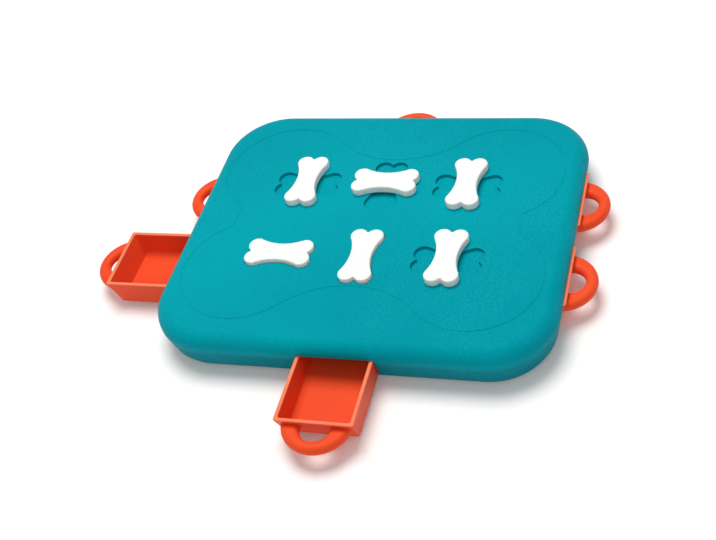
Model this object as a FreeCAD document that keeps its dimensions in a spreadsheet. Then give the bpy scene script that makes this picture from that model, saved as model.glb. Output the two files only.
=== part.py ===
import FreeCAD, Part
import math
import os
import Sketcher

# A dog's puzzle feeder: a rounded board with six drawers for food round its sides.
# A bone-shaped knob over each drawer turns a key inside the board that holds the drawer shut.
# Frame: X to the right, Y to the back, Z up, millimetres, origin on the floor under the middle.

os.makedirs("parts", exist_ok=True)
doc = FreeCAD.newDocument("puzzle_feeder")
sheet = doc.addObject("Spreadsheet::Sheet", "Sizes")

SIZES = [
    ("board_width", 300.0),
    ("board_depth", 251.4),
    ("board_corner", 48.0),
    ("board_top", 34.7),
    ("board_round", 10.5),
    ("seam_height", 22.7),
    ("skirt_low", 6.4),
    ("skirt_draft", 3.7),
    ("cover_wall", 2.6),
    ("cover_roof", 2.8),
    ("roof_fillet", 5.0),
    ("column_offset", 64.6),
    ("row_offset", 38.6),
    ("tray_low", 1.4),
    ("tray_plate", 1.6),
    ("tray_lip_height", 3.0),
    ("tray_lip_wall", 2.0),
    ("tray_gap", 0.4),
    ("guide_wall", 2.0),
    ("guide_height", 3.0),
    ("guide_length", 76.0),
    ("guide_gap", 0.5),
    ("drawer_width", 57.0),
    ("drawer_length", 94.0),
    ("drawer_depth", 21.0),
    ("drawer_wall", 2.8),
    ("drawer_base", 2.6),
    ("drawer_corner", 1.8),
    ("drawer_draft", 1.5),
    ("drawer_rake", 7.0),
    ("drawer_proud", 2.2),
    ("drawer_gap", 0.35),
    ("mouth_gap", 0.5),
    ("inner_corner", 1.6),
    ("inner_fillet", 1.5),
    ("rim_fillet", 0.6),
    ("low_fillet", 1.5),
    ("front_open", 52.5),
    ("side_open", 52.0),
    ("ring_radius", 25.5),
    ("ring_setback", 4.5),
    ("ring_hole", 11.0),
    ("ring_hole_out", 1.2),
    ("ring_thick", 8.0),
    ("ring_fillet", 3.8),
    ("ring_drop", 8.5),
    ("bone_lobe", 6.6),
    ("bone_half", 19.2),
    ("bone_spread", 6.1),
    ("bone_waist", 16.4),
    ("bone_thick", 5.8),
    ("bone_fillet", 1.0),
    ("notch_fillet", 1.2),
    ("relief_lobe", 50.0),
    ("relief_half", 87.0),
    ("relief_spread", 54.0),
    ("relief_waist", 135.0),
    ("relief_reach", 112.0),
    ("relief_width", 1.4),
    ("relief_depth", 0.22),
    ("socket_depth", 2.5),
    ("socket_gap", 0.5),
    ("socket_floor", 2.2),
    ("seat_gap", 0.3),
    ("stem_width", 9.0),
    ("stem_gap", 0.4),
    ("hub_width", 17.0),
    ("hub_thick", 2.2),
    ("key_thick", 4.7),
    ("bar_length", 34.0),
    ("bar_width", 7.0),
    ("bar_thick", 3.4),
    ("notch_gap", 1.0),
    ("screw_width", 3.0),
    ("screw_gap", 0.1),
    ("screw_head", 6.0),
    ("screw_head_thick", 2.2),
    ("key_screw_width", 2.6),
    ("key_screw_head", 4.6),
    ("key_screw_length", 9.0),
    ("boss_width", 8.4),
    ("tray_boss_height", 3.0),
    ("boss_x", 112.0),
    ("boss_y", 95.0),
    ("middle_boss_x", 44.0),
    ("case_screw_length", 13.0),
    ("foot_width", 16.0),
    ("foot_x", 116.0),
    ("foot_y", 70.0),
]

for row, (alias, value) in enumerate(SIZES, start=1):
    sheet.set("A%d" % row, alias)
    sheet.set("B%d" % row, str(value))
    sheet.setAlias("B%d" % row, alias)
doc.recompute()


def size(alias):
    return float(getattr(sheet, alias))


def formula(text):
    """Writes Sizes. before each alias, so that an expression reads like a sum."""
    names = sorted((alias for alias, value in SIZES), key=len, reverse=True)
    words = []
    word = ""
    for letter in text + " ":
        if letter.isalnum() or letter == "_":
            word += letter
            continue
        words.append("Sizes." + word if word in names else word)
        words.append(letter)
        word = ""
    return "".join(words).strip()


def bind(thing, path, text):
    thing.setExpression(path, formula(text))


# The board's levels and the places that several pieces share.
ROOF_UNDER = "(board_top - cover_roof)"
SOCKET_UNDER = "(board_top - socket_depth - socket_floor)"
TRAY_TOP = "(tray_low + tray_plate)"
DRAWER_LOW = "(tray_low + tray_plate + drawer_gap)"
DRAWER_RIM = "(tray_low + tray_plate + drawer_gap + drawer_depth)"
MOUTH_TOP = "(tray_low + tray_plate + drawer_gap + drawer_depth + mouth_gap)"
MOUTH_HALF = "(drawer_width / 2 + mouth_gap)"
STEM_LENGTH = "(seat_gap + socket_depth + socket_floor + seat_gap)"
BOSS_LOW = "(tray_low + tray_plate + tray_boss_height)"


def plane(body, role):
    for feature in body.Origin.OriginFeatures:
        if feature.Role == role:
            return feature
    raise ValueError(role)


def new_sketch(body, name, level):
    """A sketch on the body's own XY plane, lifted to a level."""
    sketch = body.newObject("Sketcher::SketchObject", name)
    sketch.AttachmentSupport = [(plane(body, "XY_Plane"), "")]
    sketch.MapMode = "FlatFace"
    bind(sketch, "AttachmentOffset.Base.z", level)
    return sketch


def draw_rectangle(sketch, left, right, front, back, corner=None):
    """A rectangle whose four sides, and corner radius if it has one, follow formulas."""
    first = sketch.GeometryCount
    value = {}
    for key, text in (("l", left), ("r", right), ("f", front), ("b", back)):
        value[key] = number(text)
    radius = number(corner) if corner else 0.0
    l, r, f, b = value["l"], value["r"], value["f"], value["b"]
    spans = [((l + radius, f), (r - radius, f)), ((r, f + radius), (r, b - radius)),
             ((r - radius, b), (l + radius, b)), ((l, b - radius), (l, f + radius))]
    for start, end in spans:
        sketch.addGeometry(Part.LineSegment(vector(start), vector(end)))
    if corner:
        centres = [(r - radius, f + radius), (r - radius, b - radius),
                   (l + radius, b - radius), (l + radius, f + radius)]
        for quarter, centre in enumerate(centres):
            circle = Part.Circle(vector(centre), FreeCAD.Vector(0, 0, 1), radius)
            start = (quarter - 1) * math.pi / 2
            sketch.addGeometry(Part.ArcOfCircle(circle, start, start + math.pi / 2))
        for side in range(4):
            following = first + (side + 1) % 4
            arc = first + 4 + side
            sketch.addConstraint(Sketcher.Constraint("Tangent", first + side, 2, arc, 1))
            sketch.addConstraint(Sketcher.Constraint("Tangent", arc, 2, following, 1))
        for side in range(3):
            sketch.addConstraint(Sketcher.Constraint("Equal", first + 4 + side, first + 5 + side))
        rule(sketch, Sketcher.Constraint("Radius", first + 4, radius), corner)
    else:
        for side in range(4):
            following = first + (side + 1) % 4
            sketch.addConstraint(Sketcher.Constraint("Coincident", first + side, 2, following, 1))
    for side in (0, 2):
        sketch.addConstraint(Sketcher.Constraint("Horizontal", first + side))
    for side in (1, 3):
        sketch.addConstraint(Sketcher.Constraint("Vertical", first + side))
    for side, kind, text in ((3, "DistanceX", left), (1, "DistanceX", right),
                             (0, "DistanceY", front), (2, "DistanceY", back)):
        distance = number(text)
        rule(sketch, Sketcher.Constraint(kind, -1, 1, first + side, 1, distance), text)


def rule(sketch, constraint, text):
    index = sketch.addConstraint(constraint)
    bind(sketch, "Constraints[%d]" % index, text)


def vector(point):
    return FreeCAD.Vector(point[0], point[1], 0)


def number(text):
    """The value of a formula now: it starts a sketch near its solution."""
    value = sheet.evalExpression(formula(str(text)))
    return float(getattr(value, "Value", value))


def grow(body, kind, sketch, length, upward=True):
    """A pad or a pocket whose effect on the volume is checked."""
    doc.recompute()
    before = body.Shape.Volume if not body.Shape.isNull() else 0.0
    feature = body.newObject(kind, sketch.Name + "_cut" if "Pocket" in kind else sketch.Name + "_pad")
    feature.Profile = sketch
    bind(feature, "Length", length)
    feature.Reversed = (kind == "PartDesign::Pad") != upward
    doc.recompute()
    gained = feature.Shape.Volume - before
    if (gained > 0) != (kind == "PartDesign::Pad"):
        raise ValueError("%s changed the volume the wrong way" % feature.Name)
    return feature


def loft(body, kind, name, lower, upper):
    feature = body.newObject(kind, name)
    feature.Profile = lower
    feature.Sections = [upper]
    feature.Ruled = True
    doc.recompute()
    return feature


def fillet(body, name, radius, wanted):
    """Rounds the edges of the body's tip that the test wants."""
    doc.recompute()
    tip = body.Tip
    chosen = ["Edge%d" % (i + 1) for i, edge in enumerate(tip.Shape.Edges) if wanted(edge)]
    if not chosen:
        raise ValueError("no edges for " + name)
    feature = body.newObject("PartDesign::Fillet", name)
    feature.Base = (tip, chosen)
    bind(feature, "Radius", radius)
    doc.recompute()
    return feature


def level_of(edge):
    """The height of an edge that lies flat, or None."""
    box = edge.BoundBox
    return (box.ZMin + box.ZMax) / 2 if box.ZLength < 0.01 else None


def near(value, target, within=0.02):
    return value is not None and abs(value - target) < within


def primitive(kind, name, **texts):
    """A Part primitive: its sizes and its place, each a formula."""
    thing = doc.addObject(kind, name)
    for key, text in texts.items():
        path = "Placement.Base." + key if key in ("x", "y", "z") else key
        bind(thing, path, text)
    return thing


def cylinder(name, width, height, x="0", y="0", z="0"):
    return primitive("Part::Cylinder", name, Radius="(%s) / 2" % width, Height=height, x=x, y=y, z=z)


def block(name, length, width, height, x="0", y="0", z="0"):
    """A box whose x and y give the middle of its plan."""
    return primitive("Part::Box", name, Length=length, Width=width, Height=height,
                     x="(%s) - (%s) / 2" % (x, length), y="(%s) - (%s) / 2" % (y, width), z=z)


def join(name, things):
    fused = doc.addObject("Part::MultiFuse", name)
    fused.Shapes = things
    fused.Refine = True
    return fused


def cut(name, base, tool):
    result = doc.addObject("Part::Cut", name)
    result.Base = base
    result.Tool = tool
    return result


# Where the six stations are: each has a drawer that slides outwards and a bone over its inner end.
# A station's open size is empty where the drawer is shut and its bone is turned across it.
STATIONS = [
    ("left_front", -1, -1, 180, "side_open"),
    ("left_back", -1, 1, 180, ""),
    ("right_front", 1, -1, 0, ""),
    ("right_back", 1, 1, 0, ""),
    ("front", 0, -1, 270, "front_open"),
    ("back", 0, 1, 90, ""),
]


def outward(turn):
    return (round(math.cos(math.radians(turn))), round(math.sin(math.radians(turn))))


def side_point(column, row, turn):
    """The formulas of the point on the board's side where a drawer's local origin lies."""
    ux, uy = outward(turn)
    if ux:
        return ("%d * board_width / 2" % ux, "%d * row_offset" % row)
    return ("0", "%d * board_depth / 2" % uy)


def axis_point(column, row):
    return ("%d * column_offset" % column, "%d * row_offset" % row)


def bone_blank(name, grown, height, z, prefix="bone"):
    """The plain outline of a bone, along X, grown by a gap: four lobes and a waist with hollow sides."""
    lobe = "(%s_lobe + %s)" % (prefix, grown)
    half = prefix + "_half"
    spread = prefix + "_spread"
    waist = "(%s_waist / 2 + %s)" % (prefix, grown)
    lobes = []
    for index, (sx, sy) in enumerate(((1, 1), (-1, 1), (-1, -1), (1, -1))):
        lobes.append(cylinder("%s_lobe%d" % (name, index), "2 * " + lobe, height,
                              "%d * %s" % (sx, half), "%d * %s" % (sy, spread), z))
    sweep = ("((%s ^ 2 + (%s - %s) ^ 2 - %s ^ 2) / (2 * (%s - %s + %s)))"
             % (half, waist, spread, lobe, lobe, waist, spread))
    far = "(%s + %s)" % (waist, sweep)
    meet = "(%s + %s * (%s - %s) / (%s + %s))" % (spread, lobe, far, spread, sweep, lobe)
    middle = block(name + "_middle", "2 * " + half, "2 * " + meet, height, z=z)
    sides = []
    for sign in (-1, 1):
        sides.append(cylinder("%s_side%d" % (name, sign + 1), "2 * " + sweep, height + " + 2",
                              y="%d * %s" % (sign, far), z="%s - 1" % z))
    return join(name, lobes + [cut(name + "_waist", middle, join(name + "_sides", sides))])


finished = []


def finish(thing, label):
    thing.Label = label
    finished.append(thing)


# The top cover: a moulded shell with a rounded top, a drafted skirt and six drawer mouths.
cover = doc.addObject("PartDesign::Body", "cover_shell")
low_plan = new_sketch(cover, "skirt_plan", "skirt_low")
draw_rectangle(low_plan, "-(board_width / 2 - skirt_draft)", "board_width / 2 - skirt_draft",
               "-(board_depth / 2 - skirt_draft)", "board_depth / 2 - skirt_draft",
               "board_corner - skirt_draft")
seam_plan = new_sketch(cover, "seam_plan", "seam_height")
draw_rectangle(seam_plan, "-board_width / 2", "board_width / 2", "-board_depth / 2",
               "board_depth / 2", "board_corner")
loft(cover, "PartDesign::AdditiveLoft", "skirt", low_plan, seam_plan)
top_plan = new_sketch(cover, "top_plan", "seam_height")
draw_rectangle(top_plan, "-board_width / 2", "board_width / 2", "-board_depth / 2",
               "board_depth / 2", "board_corner")
grow(cover, "PartDesign::Pad", top_plan, "board_top - seam_height")
fillet(cover, "top_round", "board_round", lambda edge: near(level_of(edge), size("board_top")))
INSET = "(skirt_draft + cover_wall)"
hollow = new_sketch(cover, "hollow_plan", "skirt_low")
draw_rectangle(hollow, "-(board_width / 2 - %s)" % INSET, "board_width / 2 - %s" % INSET,
               "-(board_depth / 2 - %s)" % INSET, "board_depth / 2 - %s" % INSET,
               "board_corner - %s" % INSET)
grow(cover, "PartDesign::Pocket", hollow, "%s - skirt_low" % ROOF_UNDER, upward=True)
roof_under = number(ROOF_UNDER)
fillet(cover, "roof_round", "roof_fillet", lambda edge: near(level_of(edge), roof_under))

mouths = []
sockets = []
pads = []
stem_holes = []
for station, column, row, turn, opened in STATIONS:
    sx, sy = side_point(column, row, turn)
    ax, ay = axis_point(column, row)
    ux, uy = outward(turn)
    mouth_reach = "2 * (%s + roof_fillet + drawer_proud)" % INSET
    long_side, short_side = ("2 * %s" % MOUTH_HALF, mouth_reach)
    if ux:
        long_side, short_side = short_side, long_side
    mouths.append(block("mouth_" + station, long_side, short_side, "%s - skirt_low + 1" % MOUTH_TOP,
                        sx, sy, "skirt_low - 1"))
    socket = bone_blank("socket_" + station, "socket_gap", "socket_depth + 1",
                        "board_top - socket_depth")
    pad_size = ["2 * (bone_half + bone_lobe + socket_gap + cover_wall)",
                "2 * (bone_spread + bone_lobe + socket_gap + cover_wall)"]
    if uy:
        pad_size.reverse()
    socket.Placement.Rotation = FreeCAD.Rotation(FreeCAD.Vector(0, 0, 1), turn)
    bind(socket, "Placement.Base.x", ax)
    bind(socket, "Placement.Base.y", ay)
    sockets.append(socket)
    pads.append(block("pad_" + station, pad_size[0], pad_size[1], "cover_roof / 2 + board_top"
                      " - cover_roof - %s" % SOCKET_UNDER, ax, ay, SOCKET_UNDER))
    stem_holes.append(cylinder("stem_hole_" + station, "stem_width + 2 * stem_gap", "board_top",
                               ax, ay, "skirt_low"))

BOSSES = [("boss_x", "boss_y"), ("-boss_x", "boss_y"), ("-boss_x", "-boss_y"),
          ("boss_x", "-boss_y"), ("middle_boss_x", "0"), ("-middle_boss_x", "0")]
cover_bosses = []
pilot_holes = []
tray_bosses = []
screw_holes = []
head_holes = []
case_screws = []
SEAT = "(tray_low + tray_plate + tray_boss_height / 3)"
for index, (bx, by) in enumerate(BOSSES):
    cover_bosses.append(cylinder("cover_boss%d" % index, "boss_width",
                                 "board_top - cover_roof / 2 - %s" % BOSS_LOW, bx, by, BOSS_LOW))
    pilot_holes.append(cylinder("pilot_hole%d" % index, "screw_width + 2 * screw_gap",
                                "case_screw_length", bx, by, BOSS_LOW))
    tray_bosses.append(cylinder("tray_boss%d" % index, "boss_width + 2 * cover_wall / 2",
                                "tray_plate / 2 + tray_boss_height", bx, by,
                                "tray_low + tray_plate / 2"))
    screw_holes.append(cylinder("screw_hole%d" % index, "screw_width + 2 * stem_gap",
                                "%s" % BOSS_LOW, bx, by))
    head_holes.append(cylinder("head_hole%d" % index, "screw_head + 2 * stem_gap", SEAT, bx, by))
    head = cylinder("case_head%d" % index, "screw_head", "screw_head_thick", bx, by,
                    "%s - screw_head_thick" % SEAT)
    shank = cylinder("case_shank%d" % index, "screw_width", "case_screw_length", bx, by, SEAT)
    case_screws.append(join("case_screw%d" % index, [head, shank]))

# A fine groove runs round the roof in the outline of one large bone.
outlines = []
for name, grown in (("relief_outer", "relief_width / 2"), ("relief_inner", "-relief_width / 2")):
    outline = bone_blank(name, grown, "relief_depth + 1", "board_top - relief_depth", "relief")
    ends = block(name + "_ends", "2 * (relief_reach + %s)" % grown, "2 * relief_spread / 2",
                 "relief_depth + 1", z="board_top - relief_depth")
    outlines.append(join(name + "_whole", [outline, ends]))
relief = cut("relief_groove", outlines[0], outlines[1])

shell = join("cover_body", [cover] + pads + cover_bosses)
openings = join("cover_openings", mouths + sockets + stem_holes + pilot_holes + [relief])
finish(cut("cover", shell, openings), "top_cover")

# The base tray: a flat plate inside the skirt, a low lip, two guides for each drawer and screw bosses.
tray = doc.addObject("PartDesign::Body", "tray_plate_body")
TRAY_INSET = "(skirt_draft + cover_wall + tray_gap)"
plate_plan = new_sketch(tray, "plate_plan", "tray_low")
draw_rectangle(plate_plan, "-(board_width / 2 - %s)" % TRAY_INSET,
               "board_width / 2 - %s" % TRAY_INSET, "-(board_depth / 2 - %s)" % TRAY_INSET,
               "board_depth / 2 - %s" % TRAY_INSET, "board_corner - %s" % TRAY_INSET)
grow(tray, "PartDesign::Pad", plate_plan, "tray_plate + tray_lip_height")
LIP_INSET = "(skirt_draft + cover_wall + tray_gap + tray_lip_wall)"
lip_plan = new_sketch(tray, "lip_plan", TRAY_TOP)
draw_rectangle(lip_plan, "-(board_width / 2 - %s)" % LIP_INSET,
               "board_width / 2 - %s" % LIP_INSET, "-(board_depth / 2 - %s)" % LIP_INSET,
               "board_depth / 2 - %s" % LIP_INSET, "board_corner - %s" % LIP_INSET)
grow(tray, "PartDesign::Pocket", lip_plan, "tray_lip_height", upward=True)

guides = []
gates = []
GUIDE_AT = "(drawer_width / 2 + guide_gap + guide_wall / 2)"
GUIDE_MID = "(%s + guide_length / 2)" % LIP_INSET
for station, column, row, turn, opened in STATIONS:
    sx, sy = side_point(column, row, turn)
    ux, uy = outward(turn)
    for side in (-1, 1):
        name = "guide_%s%d" % (station, side + 1)
        if ux:
            guides.append(block(name, "guide_length", "guide_wall", "guide_height + tray_plate / 2",
                                "%s - %d * %s" % (sx, ux, GUIDE_MID), "%s + %d * %s" % (sy, side, GUIDE_AT),
                                "tray_low + tray_plate / 2"))
        else:
            guides.append(block(name, "guide_wall", "guide_length", "guide_height + tray_plate / 2",
                                "%d * %s" % (side, GUIDE_AT), "%s - %d * %s" % (sy, uy, GUIDE_MID),
                                "tray_low + tray_plate / 2"))
    gate = ["2 * (%s + tray_lip_wall)" % TRAY_INSET, "2 * %s" % MOUTH_HALF]
    if uy:
        gate.reverse()
    gates.append(block("gate_" + station, gate[0], gate[1], "tray_lip_height + 1", sx, sy, TRAY_TOP))
tray_solid = join("tray_solid", [cut("tray_gated", tray, join("tray_gates", gates))] + guides + tray_bosses)
finish(cut("tray", tray_solid, join("tray_holes", screw_holes + head_holes)), "base_tray")
finish(join("case_screws", case_screws), "housing_screws")

feet = []
for index, (fx, fy) in enumerate(((1, 1), (-1, 1), (-1, -1), (1, -1), (0, 0))):
    feet.append(cylinder("foot%d" % index, "foot_width", "tray_low", "%d * foot_x" % fx,
                         "%d * foot_y" % fy))
finish(join("feet", feet), "rubber_feet")


def make_drawer(station, column, row, turn, opened):
    """A tub with a raked outer end, a notch for the key's bar and a ring handle, in one moulding."""
    body = doc.addObject("PartDesign::Body", "drawer_body_" + station)
    BACK = "(drawer_proud - drawer_length)"
    half = "(drawer_width / 2)"
    low_half = "(drawer_width / 2 - drawer_draft)"
    low = new_sketch(body, "low_" + station, DRAWER_LOW)
    draw_rectangle(low, "%s + drawer_draft" % BACK, "drawer_proud - drawer_rake", "-%s" % low_half,
                   low_half, "drawer_corner")
    rim = new_sketch(body, "rim_" + station, DRAWER_RIM)
    draw_rectangle(rim, BACK, "drawer_proud", "-%s" % half, half, "drawer_corner")
    loft(body, "PartDesign::AdditiveLoft", "tub_" + station, low, rim)
    share = "((drawer_depth - drawer_base) / drawer_depth)"
    floor = new_sketch(body, "floor_" + station, "%s + drawer_base" % DRAWER_LOW)
    inner_half = "(drawer_width / 2 - drawer_wall)"
    floor_half = "(%s - drawer_draft * %s)" % (inner_half, share)
    draw_rectangle(floor, "%s + drawer_wall + drawer_draft * %s" % (BACK, share),
                   "drawer_proud - drawer_wall - drawer_rake * %s" % share, "-%s" % floor_half,
                   floor_half, "inner_corner")
    mouth = new_sketch(body, "inside_" + station, DRAWER_RIM)
    draw_rectangle(mouth, "%s + drawer_wall" % BACK, "drawer_proud - drawer_wall",
                   "-%s" % inner_half, inner_half, "inner_corner")
    loft(body, "PartDesign::SubtractiveLoft", "hollow_" + station, floor, mouth)
    floor_level = number(DRAWER_LOW) + size("drawer_base")
    fillet(body, "floor_round_" + station, "inner_fillet", lambda edge: near(level_of(edge), floor_level))
    fillet(body, "rim_round_" + station, "rim_fillet", lambda edge: near(level_of(edge), number(DRAWER_RIM)))
    fillet(body, "low_round_" + station, "low_fillet", lambda edge: near(level_of(edge), number(DRAWER_LOW)))
    notch = new_sketch(body, "notch_" + station, DRAWER_RIM)
    draw_rectangle(notch, "%s - 1" % BACK, "%s + drawer_wall + drawer_draft" % BACK,
                   "-(bar_width / 2 + notch_gap)", "bar_width / 2 + notch_gap")
    grow(body, "PartDesign::Pocket", notch, "%s - (%s) + notch_gap" % (DRAWER_RIM, SEATED_BAR_LOW),
         upward=False)
    sx, sy = side_point(column, row, turn)
    ux, uy = outward(turn)
    shift = opened if opened else "0"
    drawer = join("drawer_solid_" + station, [body, make_ring(station)])
    drawer.Placement.Rotation = FreeCAD.Rotation(FreeCAD.Vector(0, 0, 1), turn)
    bind(drawer, "Placement.Base.x", "%s + %d * %s" % (sx, ux, shift))
    bind(drawer, "Placement.Base.y", "%s + %d * %s" % (sy, uy, shift))
    finish(drawer, "drawer_" + station)


def make_ring(station):
    """The handle, rounded all along its edges, whose ends lie inside the drawer's raked wall."""
    body = doc.addObject("PartDesign::Body", "ring_body_" + station)
    root = "(drawer_proud - drawer_rake * ring_drop / drawer_depth - drawer_wall / 2)"
    low = "(%s - ring_drop - ring_thick / 2)" % DRAWER_RIM
    ring = new_sketch(body, "ring_" + station, low)
    draw_ring(ring, root)
    grow(body, "PartDesign::Pad", ring, "ring_thick")
    levels = (number(low), number(low) + size("ring_thick"))
    fillet(body, "ring_round_" + station, "ring_fillet",
           lambda edge: any(near(level_of(edge), level) for level in levels)
           and hasattr(edge.Curve, "Radius"))
    return body


def draw_ring(sketch, root):
    """The handle's plan: a round outer edge and a round hole, both ending inside the drawer's wall."""
    outer = size("ring_radius")
    inner = size("ring_hole")
    start = number(root)
    outer_centre = start + size("drawer_wall") / 2 - size("ring_setback")
    inner_centre = start + size("drawer_wall") / 2 + size("ring_hole_out")
    outer_y = math.sqrt(outer ** 2 - (start - outer_centre) ** 2)
    inner_y = math.sqrt(inner ** 2 - (start - inner_centre) ** 2)
    turn_out = math.atan2(outer_y, start - outer_centre)
    turn_in = math.atan2(inner_y, start - inner_centre)
    up = FreeCAD.Vector(0, 0, 1)
    big = Part.Circle(FreeCAD.Vector(outer_centre, 0, 0), up, outer)
    small = Part.Circle(FreeCAD.Vector(inner_centre, 0, 0), up, inner)
    sketch.addGeometry(Part.ArcOfCircle(big, -turn_out, turn_out))
    sketch.addGeometry(Part.ArcOfCircle(small, -turn_in, turn_in))
    for sign in (1, -1):
        sketch.addGeometry(Part.LineSegment(vector((start, sign * outer_y)), vector((start, sign * inner_y))))
    add = sketch.addConstraint
    add(Sketcher.Constraint("Coincident", 0, 2, 2, 1))
    add(Sketcher.Constraint("Coincident", 1, 2, 2, 2))
    add(Sketcher.Constraint("Coincident", 0, 1, 3, 1))
    add(Sketcher.Constraint("Coincident", 1, 1, 3, 2))
    add(Sketcher.Constraint("Vertical", 2))
    add(Sketcher.Constraint("Vertical", 3))
    add(Sketcher.Constraint("PointOnObject", 0, 3, -1))
    add(Sketcher.Constraint("PointOnObject", 1, 3, -1))
    rule(sketch, Sketcher.Constraint("Radius", 0, outer), "ring_radius")
    rule(sketch, Sketcher.Constraint("Radius", 1, inner), "ring_hole")
    rule(sketch, Sketcher.Constraint("DistanceX", -1, 1, 0, 3, outer_centre),
         "%s + drawer_wall / 2 - ring_setback" % root)
    rule(sketch, Sketcher.Constraint("DistanceX", -1, 1, 1, 3, inner_centre),
         "%s + drawer_wall / 2 + ring_hole_out" % root)
    for line in (2, 3):
        rule(sketch, Sketcher.Constraint("DistanceX", -1, 1, line, 1, start), root)


RAISED_UNDER = "(board_top + seat_gap)"
SEATED_UNDER = "(board_top - socket_depth + seat_gap)"
SEATED_BAR_LOW = "(%s - %s - key_thick)" % (SEATED_UNDER, STEM_LENGTH)

for station in STATIONS:
    make_drawer(*station)


def make_bone(station, column, row, turn, opened):
    """A bone knob with its stem, the key under it and the screw that holds the two together."""
    ax, ay = axis_point(column, row)
    under = SEATED_UNDER if opened else RAISED_UNDER
    key_top = "(%s - %s)" % (under, STEM_LENGTH)
    blank = bone_blank("bone_blank_" + station, "0", "bone_thick", "0")
    doc.recompute()
    soft = doc.addObject("Part::Fillet", "bone_soft_" + station)
    soft.Base = blank
    wanted = []
    for index, edge in enumerate(blank.Shape.Edges, start=1):
        upright = edge.BoundBox.ZLength > size("bone_thick") - 0.01
        if near(level_of(edge), size("bone_thick")):
            wanted.append((index, size("bone_fillet"), size("bone_fillet")))
        elif upright and abs(edge.BoundBox.YMax) < 0.01:
            wanted.append((index, size("notch_fillet"), size("notch_fillet")))
    soft.Edges = wanted
    stem = cylinder("stem_" + station, "stem_width", STEM_LENGTH, z="-%s" % STEM_LENGTH)
    pilot = cylinder("pilot_" + station, "key_screw_width + 2 * screw_gap",
                     "key_screw_length", z="-%s" % STEM_LENGTH)
    knob = cut("knob_" + station, join("knob_solid_" + station, [soft, stem]), pilot)
    hub = cylinder("hub_" + station, "hub_width", "hub_thick", z="-hub_thick")
    bar = block("bar_" + station, "bar_length", "bar_width", "bar_thick", z="-key_thick")
    through = cylinder("through_" + station, "key_screw_width + 2 * screw_gap", "key_thick + 2",
                       z="-key_thick - 1")
    sink = cylinder("sink_" + station, "key_screw_head + 2 * screw_gap", "screw_head_thick + seat_gap",
                    z="-key_thick")
    key = cut("key_" + station, join("key_solid_" + station, [hub, bar]),
              join("key_holes_" + station, [through, sink]))
    head = cylinder("head_" + station, "key_screw_head", "screw_head_thick",
                    z="-key_thick + seat_gap")
    shank = cylinder("shank_" + station, "key_screw_width", "key_screw_length",
                     z="-key_thick + seat_gap + screw_head_thick")
    screw = join("screw_" + station, [head, shank])
    along = turn if opened else turn + 90
    for thing, label, level in ((knob, "bone_knob_", under), (key, "lock_key_", key_top),
                                (screw, "key_screw_", key_top)):
        thing.Placement.Rotation = FreeCAD.Rotation(FreeCAD.Vector(0, 0, 1), along)
        bind(thing, "Placement.Base.x", ax)
        bind(thing, "Placement.Base.y", ay)
        bind(thing, "Placement.Base.z", level)
        finish(thing, label + station)


for station in STATIONS:
    make_bone(*station)

doc.recompute()
for thing in doc.Objects:
    bad = [state for state in thing.State if state in ("Invalid", "Error")]
    if bad:
        raise ValueError("%s failed: %s" % (thing.Name, bad))
for thing in finished:
    if thing.Shape.isNull() or not thing.Shape.isValid():
        raise ValueError("%s has no valid shape" % thing.Label)
for thing in finished:
    thing.Shape.exportStep("parts/%s.step" % thing.Label)
    print("%-28s %2d solids %10.1f mm3" % (thing.Label, len(thing.Shape.Solids), thing.Shape.Volume))
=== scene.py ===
import math
import bpy
from mathutils import Matrix, Vector

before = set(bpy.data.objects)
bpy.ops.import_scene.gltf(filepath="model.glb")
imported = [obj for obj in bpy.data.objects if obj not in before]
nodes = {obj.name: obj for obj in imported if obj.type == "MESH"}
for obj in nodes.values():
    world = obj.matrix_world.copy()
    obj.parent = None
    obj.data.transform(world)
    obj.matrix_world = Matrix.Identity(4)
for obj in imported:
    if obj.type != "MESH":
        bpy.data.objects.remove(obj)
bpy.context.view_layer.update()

# The top cover: one deep moulded shell of matte blue-green plastic, screwed to the tray from
# below. Its roof has six bone-shaped seats and a fine groove, and its skin a pebbled grain.


class Wire:
    """A socket of a node tree that takes part in sums, so shader maths reads as an expression."""

    def __init__(self, finish, socket):
        self.finish = finish
        self.socket = socket

    def combine(self, operation, first, second):
        return self.finish.node("ShaderNodeMath", {"operation": operation}, {0: first, 1: second})

    def __add__(self, other):
        return self.combine("ADD", self, other)

    def __radd__(self, other):
        return self.combine("ADD", other, self)

    def __sub__(self, other):
        return self.combine("SUBTRACT", self, other)

    def __rsub__(self, other):
        return self.combine("SUBTRACT", other, self)

    def __mul__(self, other):
        return self.combine("MULTIPLY", self, other)

    def __rmul__(self, other):
        return self.combine("MULTIPLY", other, self)


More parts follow.
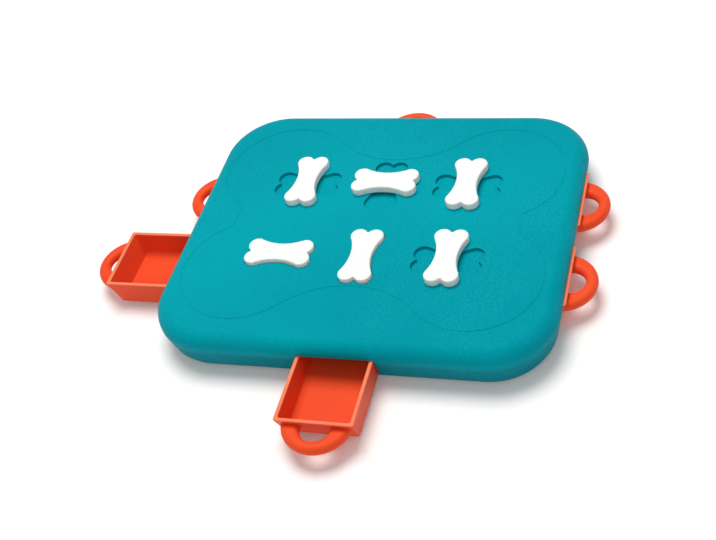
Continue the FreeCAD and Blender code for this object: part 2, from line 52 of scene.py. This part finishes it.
class Finish:
    """A material that is being wired: node() adds any node and returns one of its outputs."""

    def __init__(self, name):
        self.material = bpy.data.materials.new(name)
        self.material.use_nodes = True
        self.tree = self.material.node_tree
        self.tree.nodes.clear()
        self.shader = self.tree.nodes.new("ShaderNodeBsdfPrincipled")
        output = self.tree.nodes.new("ShaderNodeOutputMaterial")
        self.tree.links.new(self.shader.outputs["BSDF"], output.inputs["Surface"])
        self.place = self.node("ShaderNodeTexCoord", {}, {}, "Object")

    def node(self, kind, settings, sockets, output=0):
        made = self.tree.nodes.new(kind)
        for key, value in settings.items():
            setattr(made, key, value)
        for key, value in sockets.items():
            self.feed(made.inputs[key], value)
        return Wire(self, made.outputs[output])

    def feed(self, socket, value):
        if isinstance(value, Wire):
            self.tree.links.new(value.socket, socket)
        elif isinstance(value, tuple):
            socket.default_value = (*value, 1.0)
        else:
            socket.default_value = value

    def noise(self, scale, detail=2.0, roughness=0.5):
        return self.node("ShaderNodeTexNoise", {}, {"Vector": self.place, "Scale": scale,
                         "Detail": detail, "Roughness": roughness}, "Fac")

    def span(self, value, low, high):
        """Stretches low..high of a value to 0..1, smoothly and no further."""
        return self.node("ShaderNodeMapRange", {"interpolation_type": "SMOOTHSTEP"},
                         {"Value": value, "From Min": low, "From Max": high}, "Result")

    def patches(self, scale, low, high, detail=2.0, roughness=0.5):
        """Soft-edged patches: 1 where the noise is above high, and 0 where it is below low."""
        return self.span(self.noise(scale, detail, roughness), low, high)

    def pebbles(self, scale, smoothness):
        """Rounded cells side by side: 0 in the middle of a pebble, and most in the valleys."""
        return self.node("ShaderNodeTexVoronoi", {"feature": "SMOOTH_F1"}, {"Vector": self.place,
                         "Scale": scale, "Smoothness": smoothness}, "Distance")

    def height(self):
        """The height above the floor, because every node's object sits at the origin."""
        return self.node("ShaderNodeSeparateXYZ", {}, {"Vector": self.place}, "Z")

    def blend(self, share, first, second):
        first_input, second_input, colour_output = 6, 7, 2
        return self.node("ShaderNodeMix", {"data_type": "RGBA"},
                         {0: share, first_input: first, second_input: second}, colour_output)

    def bump(self, height, depth, strength):
        return self.node("ShaderNodeBump", {}, {"Height": height, "Distance": depth,
                         "Strength": strength}, "Normal")

    def surface(self, **sockets):
        """Feeds the shader: base_color is its socket Base Color, and so on."""
        inputs = {socket.name.lower().replace(" ", "_"): socket for socket in self.shader.inputs}
        for key, value in sockets.items():
            self.feed(inputs[key], value)
        return self.material


def dress(material, *names):
    """Gives CAD nodes this material in place of the plain ones that they came with."""
    for name in names:
        mesh = nodes[name].data
        mesh.materials.clear()
        mesh.materials.append(material)


def all_named(start):
    return [name for name in nodes if name.startswith(start)]


def top_of(name):
    """The height of a node's highest point above the floor."""
    return max(vertex.co.z for vertex in nodes[name].data.vertices)


BOARD_BLUE = (0.0008, 0.342, 0.412)
BOARD_DEEP = (0.0004, 0.275, 0.345)
BOARD_PALE = (0.004, 0.410, 0.475)
BOARD_GLOSS = 0.05
BOARD_SHEEN = (0.02, 0.80, 1.00)
BOARD_ROUGHNESS = 0.44
WORN_SHARE = 0.40
# The skirt's painted shade: the cover's teal, darkened on its sides where less light falls.
SKIRT_PAINTED_SHADE = (0.0003, 0.205, 0.262)
SKIRT_SHADE_SHARE = 0.95
SKIRT_BELOW_ROOF = 0.0097
SKIRT_FADE = 0.007
PEBBLE_SCALE = 620.0
PEBBLE_SMOOTHNESS = 0.55
PEBBLE_SHADE = 0.35
PEBBLE_DEPTH = 0.00024
FINE_PER_PEBBLE = 2.2


def board_plastic():
    finish = Finish("board_plastic")
    pebbles = finish.pebbles(PEBBLE_SCALE, PEBBLE_SMOOTHNESS)
    valley = finish.span(pebbles, 0.25, 0.75)
    fine = finish.noise(PEBBLE_SCALE * FINE_PER_PEBBLE, detail=3.0, roughness=0.6)
    worn = finish.patches(14.0, 0.42, 0.72, detail=3.0, roughness=0.55)
    # Below a line under the roof the skirt is painted darker, as painted shade on the board's sides.
    skirt_top = top_of("top_cover") - SKIRT_BELOW_ROOF
    skirt_shade = finish.span(finish.height(), skirt_top, skirt_top - SKIRT_FADE)
    colour = finish.blend(finish.patches(7.0, 0.3, 0.7), BOARD_BLUE, BOARD_DEEP)
    colour = finish.blend(valley * PEBBLE_SHADE, colour, BOARD_DEEP)
    colour = finish.blend(skirt_shade * SKIRT_SHADE_SHARE, colour, SKIRT_PAINTED_SHADE)
    colour = finish.blend(worn * (1 - valley) * WORN_SHARE, colour, BOARD_PALE)
    grain = (1 - pebbles) * 0.8 + fine * 0.35
    return finish.surface(base_color=colour,
                          roughness=BOARD_ROUGHNESS + valley * 0.16 - worn * 0.05,
                          specular_ior_level=BOARD_GLOSS, specular_tint=BOARD_SHEEN,
                          normal=finish.bump(grain, PEBBLE_DEPTH, strength=0.8))


dress(board_plastic(), "top_cover")

# The base tray: a flat injection-moulded plate that closes the board from below. It carries the
# drawers on guides and is plainer than the cover, because nobody looks at it. Its teal is the
# cover's, painted darker as shade under the board.


# The tray's teal is the cover's, painted darker as shade under the board.
TRAY_SHADED_BLUE = (0.002, 0.200, 0.245)
TRAY_ROUGHNESS = 0.48
TRAY_GRAIN_DEPTH = 0.00008


def tray_plastic():
    finish = Finish("tray_plastic")
    grain = finish.noise(160.0, detail=4.0, roughness=0.6)
    clouds = finish.patches(9.0, 0.35, 0.7)
    return finish.surface(base_color=finish.blend(clouds * 0.5, TRAY_SHADED_BLUE, BOARD_DEEP),
                          roughness=TRAY_ROUGHNESS + grain * 0.14,
                          normal=finish.bump(grain, TRAY_GRAIN_DEPTH, strength=0.4))


dress(tray_plastic(), "base_tray")

# The drawers: six alike, each a tub with a raked outer end and a ring handle in one moulding of
# orange plastic. They slide out of the board's sides on the tray and hold the dog's food.


DRAWER_ORANGE = (0.860, 0.084, 0.024)
DRAWER_RED = (0.780, 0.054, 0.022)
# The scuff colour is used for the small scuffs and also for a painted highlight along the rims.
DRAWER_SCUFF_AND_HIGHLIGHT = (0.960, 0.330, 0.180)
DRAWER_GLOSS = 0.18
DRAWER_SHEEN = (1.00, 0.50, 0.26)
DRAWER_ROUGHNESS = 0.34
DRAWER_SKIN_DEPTH = 0.00006
RIM_RUB_AND_HIGHLIGHT_BAND = 0.0009


def drawer_plastic():
    finish = Finish("drawer_plastic")
    clouds = finish.patches(22.0, 0.35, 0.7)
    skin = finish.noise(900.0)
    flow = finish.noise(60.0, detail=3.0, roughness=0.6)
    scuffs = finish.patches(210.0, 0.62, 0.74, detail=5.0, roughness=0.7)
    # The top band of each rim is painted lighter: partly rubbed wear, mostly a painted highlight
    # where the rim catches the light.
    rim = top_of("drawer_front")
    rim_rub_and_highlight = finish.span(finish.height(), rim - RIM_RUB_AND_HIGHLIGHT_BAND, rim)
    colour = finish.blend(clouds * 0.45, DRAWER_ORANGE, DRAWER_RED)
    colour = finish.blend(scuffs * 0.12 + rim_rub_and_highlight * (0.35 + flow * 0.5), colour, DRAWER_SCUFF_AND_HIGHLIGHT)
    return finish.surface(base_color=colour,
                          roughness=DRAWER_ROUGHNESS + flow * 0.10 + scuffs * 0.15,
                          specular_ior_level=DRAWER_GLOSS, specular_tint=DRAWER_SHEEN,
                          normal=finish.bump(skin * 0.4 + flow * 0.6, DRAWER_SKIN_DEPTH,
                                             strength=0.35))


dress(drawer_plastic(), *all_named("drawer_"))

# The bone knobs: six alike, moulded in white plastic with softened edges. Four stand on the roof,
# turned across their seats, and two lie in theirs, because the drawers below them are open.


BONE_WHITE = (0.930, 0.915, 0.890)
BONE_SHADE = (0.880, 0.850, 0.810)
BONE_MILK = 0.6
BONE_MILK_DEPTH = 0.008
BONE_ROUGHNESS = 0.36
BONE_SKIN_DEPTH = 0.00005


def bone_plastic():
    finish = Finish("bone_plastic")
    clouds = finish.patches(30.0, 0.4, 0.75)
    skin = finish.noise(700.0, detail=3.0, roughness=0.6)
    flow = finish.noise(90.0)
    return finish.surface(base_color=finish.blend(clouds * 0.22, BONE_WHITE, BONE_SHADE),
                          roughness=BONE_ROUGHNESS + skin * 0.12,
                          subsurface_weight=BONE_MILK, subsurface_scale=BONE_MILK_DEPTH,
                          normal=finish.bump(skin * 0.5 + flow * 0.5, BONE_SKIN_DEPTH,
                                             strength=0.3))


dress(bone_plastic(), *all_named("bone_knob_"))

# The lock keys: a hub and a bar under each bone, in plain off-white plastic, held to the bone's
# stem by a screw. They can be seen only through an open drawer's mouth.


KEY_GREY = (0.640, 0.630, 0.600)
KEY_SHADE = (0.480, 0.475, 0.455)
KEY_ROUGHNESS = 0.42
KEY_SKIN_DEPTH = 0.00005


def key_plastic():
    finish = Finish("key_plastic")
    clouds = finish.patches(45.0, 0.4, 0.7)
    skin = finish.noise(420.0, detail=3.0, roughness=0.6)
    return finish.surface(base_color=finish.blend(clouds * 0.4, KEY_GREY, KEY_SHADE),
                          roughness=KEY_ROUGHNESS + skin * 0.16,
                          normal=finish.bump(skin, KEY_SKIN_DEPTH, strength=0.35))


dress(key_plastic(), *all_named("lock_key_"))

# The screws: zinc-plated steel, six through the tray into the cover's bosses and one through each
# key. The zinc is dull in patches, and its skin is very finely uneven.


ZINC = (0.560, 0.565, 0.570)
ZINC_DULL = (0.400, 0.395, 0.380)
ZINC_ROUGHNESS = 0.28
ZINC_SKIN_DEPTH = 0.00003


def screw_steel():
    finish = Finish("screw_steel")
    tarnish = finish.patches(260.0, 0.42, 0.68, detail=3.0)
    skin = finish.noise(1500.0, detail=1.0)
    return finish.surface(base_color=finish.blend(tarnish, ZINC, ZINC_DULL), metallic=1.0,
                          roughness=ZINC_ROUGHNESS + tarnish * 0.22,
                          normal=finish.bump(skin, ZINC_SKIN_DEPTH, strength=0.4))


dress(screw_steel(), "housing_screws", *all_named("key_screw_"))

# The feet: five round pads of black rubber stuck under the tray, which keep the board still
# while the dog works at it. Dust from the floor clings to them.


RUBBER_BLACK = (0.018, 0.018, 0.019)
RUBBER_DUST = (0.060, 0.058, 0.055)
RUBBER_ROUGHNESS = 0.72
RUBBER_SKIN_DEPTH = 0.00008


def foot_rubber():
    finish = Finish("foot_rubber")
    dust = finish.patches(120.0, 0.45, 0.75, detail=4.0, roughness=0.65)
    skin = finish.noise(1100.0)
    return finish.surface(base_color=finish.blend(dust, RUBBER_BLACK, RUBBER_DUST),
                          roughness=RUBBER_ROUGHNESS + dust * 0.15,
                          normal=finish.bump(skin, RUBBER_SKIN_DEPTH, strength=0.5))


dress(foot_rubber(), "rubber_feet")

# The studio: a white floor, a large soft light nearly overhead and a little to the back left, a
# weaker one in front, and a bright room. The shadows are soft and fall mostly to the front.


FLOOR_HALF = 4.0
FLOOR_WHITE = (0.94, 0.94, 0.94)
FLOOR_GLOW = 0.07
FLOOR_ROUGHNESS = 0.75
PAPER_DEPTH = 0.00002


def studio_floor():
    mesh = bpy.data.meshes.new("studio_floor")
    corners = [(x * FLOOR_HALF, y * FLOOR_HALF, 0.0) for x, y in ((-1, -1), (1, -1), (1, 1), (-1, 1))]
    mesh.from_pydata(corners, [], [(0, 1, 2, 3)])
    floor = bpy.data.objects.new("studio_floor", mesh)
    bpy.context.scene.collection.objects.link(floor)
    finish = Finish("studio_paper")
    paper = finish.bump(finish.noise(300.0), PAPER_DEPTH, strength=0.2)
    mesh.materials.append(finish.surface(base_color=FLOOR_WHITE, roughness=FLOOR_ROUGHNESS,
                                         emission_color=FLOOR_WHITE, emission_strength=FLOOR_GLOW,
                                         normal=paper))


def soft_light(name, position, width, watts, tint):
    """A round lamp that shines at the middle of the board."""
    light = bpy.data.lights.new(name, "AREA")
    light.shape = "DISK"
    light.size = width
    light.energy = watts
    light.color = tint
    lamp = bpy.data.objects.new(name, light)
    turn = (-Vector(position)).to_track_quat("-Z", "Y").to_matrix().to_4x4()
    lamp.matrix_world = Matrix.Translation(position) @ turn
    bpy.context.scene.collection.objects.link(lamp)


studio_floor()
soft_light("key_light", (-0.18, 0.38, 1.52), width=1.0, watts=20.0, tint=(1.0, 0.99, 0.97))
soft_light("front_light", (0.30, -1.40, 1.10), width=1.2, watts=4.0, tint=(1.0, 1.0, 1.0))

ROOM_LIGHT = (1.0, 0.970, 0.930)
ROOM_BRIGHTNESS = 0.38
world = bpy.data.worlds.new("studio_room")
world.use_nodes = True
background = world.node_tree.nodes["Background"]
background.inputs["Color"].default_value = (*ROOM_LIGHT, 1.0)
background.inputs["Strength"].default_value = ROOM_BRIGHTNESS
bpy.context.scene.world = world
bpy.context.scene.view_settings.view_transform = "Standard"

# The camera: above the front right of the board and rolled to the left, with a short telephoto
# lens, as the photograph was taken.


AZIMUTH = math.radians(24.91)
ELEVATION = math.radians(42.67)
ROLL = math.radians(-15.83)
DISTANCE = 0.9079
AIM = Vector((0.0, 0.0, 0.024))
FOCAL_PIXELS = 1198.7
IMAGE_WIDTH_PIXELS = 716.0
AIM_RIGHT_PIXELS = 19.05
AIM_UP_PIXELS = 39.79
SENSOR_WIDTH = 36.0


def photo_camera():
    toward = Vector((math.sin(AZIMUTH) * math.cos(ELEVATION),
                     -math.cos(AZIMUTH) * math.cos(ELEVATION), math.sin(ELEVATION)))
    level = Vector((math.cos(AZIMUTH), math.sin(AZIMUTH), 0.0))
    upright = toward.cross(level)
    across = math.cos(ROLL) * level + math.sin(ROLL) * upright
    up = math.cos(ROLL) * upright - math.sin(ROLL) * level
    data = bpy.data.cameras.new("photo_camera")
    data.sensor_width = SENSOR_WIDTH
    data.lens = FOCAL_PIXELS * SENSOR_WIDTH / IMAGE_WIDTH_PIXELS
    data.shift_x = -AIM_RIGHT_PIXELS / IMAGE_WIDTH_PIXELS
    data.shift_y = -AIM_UP_PIXELS / IMAGE_WIDTH_PIXELS
    camera = bpy.data.objects.new("photo_camera", data)
    turn = Matrix((across, up, toward)).transposed().to_4x4()
    camera.matrix_world = Matrix.Translation(AIM + toward * DISTANCE) @ turn
    bpy.context.scene.collection.objects.link(camera)
    bpy.context.scene.camera = camera


photo_camera()
